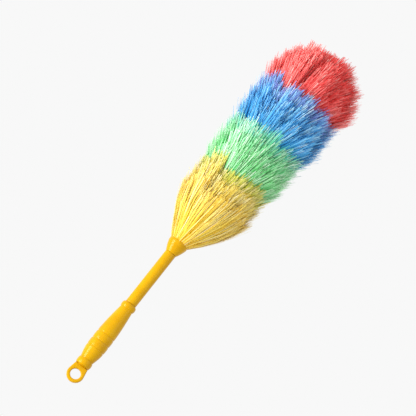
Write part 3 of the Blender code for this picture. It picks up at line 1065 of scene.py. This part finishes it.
    def fibres(self, add: Adder, made: dict[str, Any]) -> Node:
        """Adds the fibres, each moved by the draws of its lock, of its tuft and of its own.

        Args:
            add: add_node for the tree.
            made: sockets by name.

        Returns:
            The node that gives the fibres.
        """
        amount = {"Geometry": made["Geometry"], "Amount": made["Fibres"]}
        copies = add("GeometryNodeDuplicateElements", {"domain": "SPLINE"}, amount)
        own = {**made, "number": copies.outputs["Duplicate Index"]}
        self.add_sums(add, own, LOCK_SUMS)
        self.add_draws(add, own, "fibre id")
        self.add_draws(add, own, "lock id")
        self.add_sums(add, own, TUFT_SUMS)
        self.add_draws(add, own, "tuft id")
        self.add_sums(add, own, FIBRE_SUMS)
        place = add("ShaderNodeCombineXYZ", links={0: own["x"], 1: own["y"], 2: own["z"]})
        noise = add("ShaderNodeTexNoise", links={"Vector": place, "Scale": self.wander_per_metre})
        swing = {0: noise.outputs["Color"], 1: (0.5, 0.5, 0.5)}
        centred = add("ShaderNodeVectorMath", {"operation": "SUBTRACT"}, swing)
        reach = {0: centred, "Scale": own["wander here"]}
        offset = add("ShaderNodeVectorMath", {"operation": "SCALE"}, reach)
        move = {"Geometry": copies, "Position": place, "Offset": offset}
        placed = add("GeometryNodeSetPosition", links=move)
        upright = add("GeometryNodeSetCurveNormal", {"mode": "Z_UP"}, {"Curve": placed})
        tilted = add("GeometryNodeSetCurveTilt", links={"Curve": upright, "Tilt": own["twist"]})
        return self.sweep(add, own, tilted, made["Strand Radius"], self.hair_flatness)

    def underlay(self, add: Adder, made: dict[str, Any]) -> Node:
        """Adds the dense inside of the row, drawn as broad strands side by side.

        Args:
            add: add_node for the tree.
            made: sockets by name.

        Returns:
            The node that gives the broad strands.
        """
        amount = {"Geometry": made["Geometry"], "Amount": made["Underlay"]}
        copies = add("GeometryNodeDuplicateElements", {"domain": "SPLINE"}, amount)
        own = {**made, "ply id": copies.outputs["Duplicate Index"]}
        self.add_draws(add, own, "ply id")
        self.add_sums(add, own, PLY_SUMS)
        place = add("ShaderNodeCombineXYZ", links={0: own["x"], 1: own["y"], 2: own["z"]})
        placed = add("GeometryNodeSetPosition", links={"Geometry": copies, "Position": place})
        upright = add("GeometryNodeSetCurveNormal", {"mode": "Z_UP"}, {"Curve": placed})
        return self.sweep(add, own, upright, self.ply_radius, self.ply_flatness)

    def sweep(
        self, add: Adder, made: dict[str, Any], strands: Node, radius: Link, flatness: float
    ) -> Node:
        """Marks each strand with its tone and sweeps a flat section along it.

        Args:
            add: add_node for the tree.
            made: sockets by name, with the strands' own among them.
            strands: the node that gives the strands.
            radius: the section's radius.
            flatness: how thick it is for its width.

        Returns:
            The node that gives the swept strands.
        """
        marks = {"data_type": "FLOAT", "domain": "POINT"}
        for name in ("along", "tone"):
            values = {"Geometry": strands, "Name": name, "Value": made[name]}
            strands = add("GeometryNodeStoreNamedAttribute", marks, values)
        size = {"Resolution": self.hair_sides, "Radius": radius}
        ring = add("GeometryNodeCurvePrimitiveCircle", links=size)
        side = add("GeometryNodeSplineParameter").outputs["Factor"]
        values = {"Geometry": ring, "Name": "side", "Value": side}
        sided = add("GeometryNodeStoreNamedAttribute", marks, values)
        flat = {"Geometry": sided, "Scale": (1.0, flatness, 1.0)}
        section = add("GeometryNodeTransform", links=flat)
        path = {"Curve": strands, "Profile Curve": section, "Scale": made["taper"]}
        return add("GeometryNodeCurveToMesh", links={**path, "Fill Caps": True})

    def header(self, add: Adder, made: dict[str, Any]) -> Node:
        """Adds the welded header ring that the fibres grow from.

        Args:
            add: add_node for the tree.
            made: sockets by name.

        Returns:
            The node that puts the ring in place.
        """
        own = dict(made)
        self.add_sums(add, own, HEADER_SUMS)
        size = {"Resolution": self.header_sides, "Radius": own["header radius"]}
        path = add("GeometryNodeCurvePrimitiveCircle", links=size)
        level = add("GeometryNodeSetCurveNormal", {"mode": "Z_UP"}, {"Curve": path})
        size = {"Width": made["Header Thickness"], "Height": made["Header Height"]}
        section = add("GeometryNodeCurvePrimitiveQuadrilateral", links=size)
        curves = {"Curve": level, "Profile Curve": section}
        ring = add("GeometryNodeCurveToMesh", links=curves)
        lift = add("ShaderNodeCombineXYZ", links={2: own["header middle"]})
        return add("GeometryNodeTransform", links={"Geometry": ring, "Translation": lift})

    def map_hairs(self, add: Adder, geometry: Node) -> Node:
        """Gives the mesh a map on which hairs of one tone share one column.

        A hair's colour depends on its tone and on the place along it alone, so hairs that share
        a column have the same colours there.

        Args:
            add: add_node for the tree.
            geometry: the node that gives the mesh.

        Returns:
            The node that stores the map.
        """
        kind = {"data_type": "FLOAT"}
        own = {
            name: add("GeometryNodeInputNamedAttribute", kind, {"Name": name}).outputs["Attribute"]
            for name in ("along", "tone", "side")
        }
        self.add_sums(add, own, MAP_SUMS)
        spot = add("ShaderNodeCombineXYZ", links={0: own["across"], 1: own["upward"]})
        return add(
            "GeometryNodeStoreNamedAttribute",
            {"data_type": "FLOAT2", "domain": "CORNER"},
            {"Geometry": geometry, "Name": "OFBake", "Value": spot},
        )


@dataclass(frozen=True)
class Tier:
    """One colour of the head: its film and its rows, from the lowest up.

    fibres holds the length of each row's strands. flares holds the angles from the axis of a
    strand's root, middle and tip, in degrees, once for each row. over says how far the next
    colour shows through the tips of each row. pale lifts the tones of the whole tier, and
    changes holds the fibre tree's other inputs that are the tier's own.
    """

    colour: str
    slot: Slot
    film: SlitFilmFibre
    fibres: tuple[float, ...]
    flares: tuple[tuple[float, float, float], ...]
    droop: float
    over: tuple[float, ...]
    pale: float
    seed: int
    changes: dict[str, Any] = field(default_factory=dict)


# Each film's colours: dark, mixed in at the root as painted shade; deep, body and pale; a
# near-white painted highlight at the top of the tone ramp; over; and sheen.
YELLOW_FILM = SlitFilmFibre(
    "slit_film_yellow", "ECAA00", "F4C41C", "FCDE54", "FFF0A8", "FFF8C8", "B8E050", "FFE488",
    shine=0.7, through=0.05,
)
GREEN_FILM = SlitFilmFibre(
    "slit_film_green", "38C858", "46D266", "84EC92", "C4F8C8", "ECFFEA", "50CCC8", "E8FFEE"
)
BLUE_FILM = SlitFilmFibre(
    "slit_film_blue", "007ABE", "0092D6", "00A4E8", "6CCEF8", "D0F0FF", "A88CDC", "B0E0FF",
    shine=0.5,
)
RED_FILM = SlitFilmFibre(
    "slit_film_red", "F42426", "FA3030", "FF4646", "FF7C76", "FFC4BC", "FC4A4C", "FFE0D8"
)
TIERS = (
    Tier(
        "yellow", Slot.YELLOW, YELLOW_FILM, (0.088, 0.085, 0.081),
        ((26, 37, 24), (30, 31, 27), (31, 30, 29)),
        droop=0.0060, over=(0.0, 0.12, 0.6), pale=0.22, seed=5,
        changes={
            "Lock Flare": 0.022, "Tuft Flare": 0.006, "Fibre Flare": 0.038, "Fibre Lean": 0.012,
            "Strand Radius": 0.00085, "Contrast": 0.45, "Twist": 0.15, "Underlay Sink": 0.002,
        },
    ),
    Tier(
        "green", Slot.GREEN, GREEN_FILM, (0.091, 0.089, 0.087),
        ((34, 32, 30), (34, 33, 32), (35, 34, 33)),
        droop=0.0085, over=(0.0, 0.15, 0.8), pale=0.20, seed=36,
    ),
    Tier(
        "blue", Slot.BLUE, BLUE_FILM, (0.093, 0.092, 0.091),
        ((37, 36, 34), (37, 36, 35), (37, 36, 35)),
        droop=0.0110, over=(0.0, 0.06, 0.6), pale=0.06, seed=27,
    ),
    Tier(
        "red", Slot.RED, RED_FILM, (0.093, 0.087, 0.079),
        ((35, 34, 32), (33, 32, 31), (31, 30, 30)),
        droop=0.0130, over=(0.0, 0.0, 0.0), pale=0.10, seed=13, changes={"Contrast": 0.70},
    ),
)


@dataclass
class Head:
    """The head: core tube and cap, binding bands, and the rows of fringe in four colours."""

    tiers: tuple[Tier, ...] = TIERS
    # Each row's painted light and shade: the lowest row of a tier a little darker, the highest
    # paler.
    painted_row_light: tuple[float, ...] = (-0.08, 0.0, 0.06)
    crown_node: str = "red_crown_fringe"
    crown_fibre: float = 0.075
    crown_flare: tuple[float, float, float] = (16, 15, 14)
    header_radius: float = 0.0083
    foot_rise: float = 0.0061
    guide_steps: int = 200
    guide_shares: tuple[float, ...] = (0.0, 0.15, 0.40, 0.70, 1.0)
    flare_shares: tuple[float, float, float] = (0.065, 0.33, 0.765)
    crisp: float = math.radians(50)

    # The crown's locks are fewer, wider and looser, and close over the end of the core.
    crown_changes: ClassVar[dict[str, Any]] = {
        "Droop": 0.019, "Tier Seed": 14, "Locks": 20, "Lock Half Width": 0.0080,
        "Lock Flare": 0.17, "Lock Length": 0.08, "Fibre Flare": 0.09, "Root Spread": 0.003,
    }

    def build(self) -> list[bpy.types.Object]:
        """Builds every row and dresses the core and the bands.

        Returns:
            The rows of fringe, from the ferrule up.
        """
        self.dress_core()
        tree = FibreTree().build()
        rows: list[bpy.types.Object] = []
        for tier in self.tiers:
            film = tier.film.material()
            numbered = enumerate(zip(tier.fibres, tier.flares, tier.over, self.painted_row_light), 1)
            for number, (fibre, flare, over, pale) in numbered:
                # The rows of one colour share their locks, which so run on from row to row.
                sizes = {
                    "Droop": tier.droop,
                    "Over": over,
                    "Seed": len(rows) + 1,
                    "Tier Seed": tier.seed,
                    # The tier's own paleness, plus the row's painted light and shade.
                    "Paleness": tier.pale + pale,
                    "Material": film,
                    **tier.changes,
                }
                node = f"{tier.colour}_fringe_{number}"
                rows.append(self.row(tree, node, tier.slot, flare, fibre, sizes))
        sizes = {"Seed": len(rows) + 1, "Material": film, **self.crown_changes}
        crown = (self.crown_node, tier.slot, self.crown_flare, self.crown_fibre)
        rows.append(self.row(tree, *crown, sizes))
        return rows

    def dress_core(self) -> None:
        """Gives the core tube, its cap and the bands their materials."""
        white = ExtrudedPolypropylene().material()
        steel = GalvanisedBand().material()
        for name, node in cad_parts.items():
            if name.startswith("core_") or "_binding" in name:
                node.data.materials.clear()
                node.data.materials.append(white if name.startswith("core_") else steel)

    def guide(self, flare: tuple, fibre: float, root_height: float) -> Outline:
        """The path of a row's middle strand.

        Args:
            flare: angles from the axis at its root, middle and tip, in degrees.
            fibre: its length.
            root_height: height of its root.

        Returns:
            (radius, height) points at the guide's shares of the length.
        """
        low, middle, high = self.flare_shares
        steps = self.guide_steps
        radius, height = self.header_radius, root_height
        path = [(radius, height)]
        for i in range(steps):
            share = (i + 0.5) / steps
            if share < middle:
                turn = flare[0] + (flare[1] - flare[0]) * max(0.0, share - low) / (middle - low)
            else:
                turn = flare[1] + (flare[2] - flare[1]) * (share - middle) / (high - middle)
            radius += fibre / steps * math.sin(math.radians(turn))
            height += fibre / steps * math.cos(math.radians(turn))
            path.append((radius, height))
        return [path[round(share * steps)] for share in self.guide_shares]

    def row(
        self,
        tree: bpy.types.NodeTree,
        node: str,
        slot: Slot,
        flare: tuple,
        fibre: float,
        sizes: dict[str, Any],
    ) -> bpy.types.Object:
        """Grows one row of fringe and puts it in the place of its CAD node.

        Args:
            tree: the fibre tree.
            node: the row's CAD node.
            slot: the record's slot; not used.
            flare: angles of the guide strand.
            fibre: its length.
            sizes: values of the tree's named inputs that differ from their defaults.

        Returns:
            The row.
        """
        root_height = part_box(node)[0].z + self.foot_rise
        sizes = {"Root Radius": self.header_radius, "Root Height": root_height, **sizes}
        curve = bpy.data.curves.new(node + " guide", "CURVE")
        curve.dimensions = "3D"
        spline = curve.splines.new("POLY")
        points = self.guide(flare, fibre, root_height)
        spline.points.add(len(points) - 1)
        for point, (radius, height) in zip(spline.points, points):
            point.co = (radius, 0.0, height, 1.0)
        strand = bpy.data.objects.new(node + " guide", curve)
        bpy.context.scene.collection.objects.link(strand)
        grow = strand.modifiers.new("grow", "NODES")
        grow.node_group = tree
        for item in tree.interface.items_tree:
            if item.in_out == "INPUT" and item.name in sizes:
                grow[item.identifier] = sizes[item.name]
        bpy.context.view_layer.update()
        graph = bpy.context.evaluated_depsgraph_get()
        mesh = bpy.data.meshes.new_from_object(strand.evaluated_get(graph))
        bpy.data.objects.remove(strand)
        # Smooth along a hair, crisp across it, so that a flat hair also shades as flat.
        mesh.shade_smooth()
        mesh.set_sharp_from_angle(angle=self.crisp)
        return install(node + "_hairs", mesh, sizes["Material"], node)


@dataclass
class Studio:
    """The floor, the pale surround, the camera and two soft boxes at the photograph's angles.

    The surround is one value to the camera and in gloss. As light it is a dome that runs from
    dim_light to bright_light towards bright_way, the key's side.
    """

    floor_height: float = -1.65
    floor_size: float = 9.0
    surround: str = "F8F8F8"
    bright_light: float = 1.10
    dim_light: float = 0.58
    bright_way: tuple[float, float, float] = (-0.75, -0.60, -0.28)
    distance: float = 5.5
    near_clip: float = 0.05
    frame_width: float = 0.579
    sensor: float = 36.0
    tilt: float = math.radians(12.4)
    aim: tuple[float, float, float] = (0.0015, 0.0, 0.2299)
    axis_in_picture: tuple[float, float] = (0.62029, 0.78438)

    # Each soft box: where it hangs, its width, its height and its power in watts.
    soft_boxes: ClassVar[dict[str, tuple]] = {
        "key": ((-1.50, -0.83, -0.55), 0.9, 1.5, 41.0),
        "fill": ((1.3, -1.2, 1.0), 1.2, 1.4, 4.5),
    }

    def build(self) -> None:
        """Builds the whole studio."""
        self.floor()
        self.world()
        self.camera()
        for name, box in self.soft_boxes.items():
            self.light(name, *box)

    def floor(self) -> None:
        """Lays the pale floor well below the duster, which the camera looks up at."""
        half = self.floor_size / 2
        ways = ((-half, -half), (half, -half), (half, half), (-half, half))
        mesh = bpy.data.meshes.new("floor")
        mesh.from_pydata([(x, y, self.floor_height) for x, y in ways], [], [(0, 1, 2, 3)])
        floor = bpy.data.objects.new("floor", mesh)
        mesh.materials.append(PaleFloor().material())
        bpy.context.scene.collection.objects.link(floor)

    def world(self) -> None:
        """Sets the surround: the picture's grey to the camera and in gloss, dimmer as light."""
        world = bpy.data.worlds.new("pale surround")
        bpy.context.scene.world = world
        world.use_nodes = True
        world.node_tree.nodes.clear()
        add = partial(add_node, world.node_tree)
        path = add("ShaderNodeLightPath")
        seen = path.outputs["Is Camera Ray"]
        for name in ("Is Glossy Ray", "Is Transmission Ray"):
            either = {0: seen, 1: path.outputs[name]}
            seen = add("ShaderNodeMath", {"operation": "MAXIMUM"}, either)
        sides = {0: add("ShaderNodeTexCoord").outputs["Generated"], 1: self.bright_way}
        way = add("ShaderNodeVectorMath", {"operation": "DOT_PRODUCT"}, sides)
        lights = {0: way, 1: -1.0, 2: 1.0, 3: self.dim_light, 4: self.bright_light}
        dome = add("ShaderNodeMapRange", links=lights)
        strength = add("ShaderNodeMix", {"data_type": "FLOAT"}, {0: seen, 2: dome, 3: 1.0})
        pale = {"Color": linear_rgba(self.surround), "Strength": strength}
        add("ShaderNodeOutputWorld", links={"Surface": add("ShaderNodeBackground", links=pale)})

    def camera(self) -> None:
        """Sets the camera: a long lens, a little below the head, rolled as in the photograph."""
        forward = Vector((0.0, math.cos(self.tilt), math.sin(self.tilt)))
        level = Vector((1.0, 0.0, 0.0))
        upward = level.cross(forward)
        across, along = self.axis_in_picture
        right = along * level + across * upward
        up = along * upward - across * level
        place = Vector(self.aim) - self.distance * forward
        lens = bpy.data.cameras.new("camera")
        lens.sensor_width = self.sensor
        lens.lens = self.sensor * self.distance / self.frame_width
        lens.clip_start = self.near_clip
        camera = bpy.data.objects.new("camera", lens)
        turn = Matrix((right, up, -forward)).transposed()
        camera.matrix_world = Matrix.Translation(place) @ turn.to_4x4()
        bpy.context.scene.collection.objects.link(camera)
        bpy.context.scene.camera = camera

    def light(self, name: str, place: tuple, width: float, height: float, power: float) -> None:
        """Hangs one soft box that faces the middle of the duster.

        Args:
            name: the lamp's name.
            place: where it hangs.
            width: its width.
            height: its height.
            power: its power in watts.
        """
        lamp = bpy.data.lights.new(name, "AREA")
        lamp.shape = "RECTANGLE"
        lamp.size, lamp.size_y = width, height
        lamp.energy = power
        box = bpy.data.objects.new(name, lamp)
        turn = (Vector(self.aim) - Vector(place)).to_track_quat("-Z", "Y").to_matrix()
        box.matrix_world = Matrix.Translation(place) @ turn.to_4x4()
        bpy.context.scene.collection.objects.link(box)


def main() -> None:
    """Builds the studio, the handle and the head."""
    logging.basicConfig(level=logging.INFO, format="%(name)s %(message)s", stream=sys.stdout)
    bpy.context.scene.view_settings.view_transform = "Standard"
    Studio().build()
    Handle().build()
    Head().build()


if __name__ == "__main__":
    main()
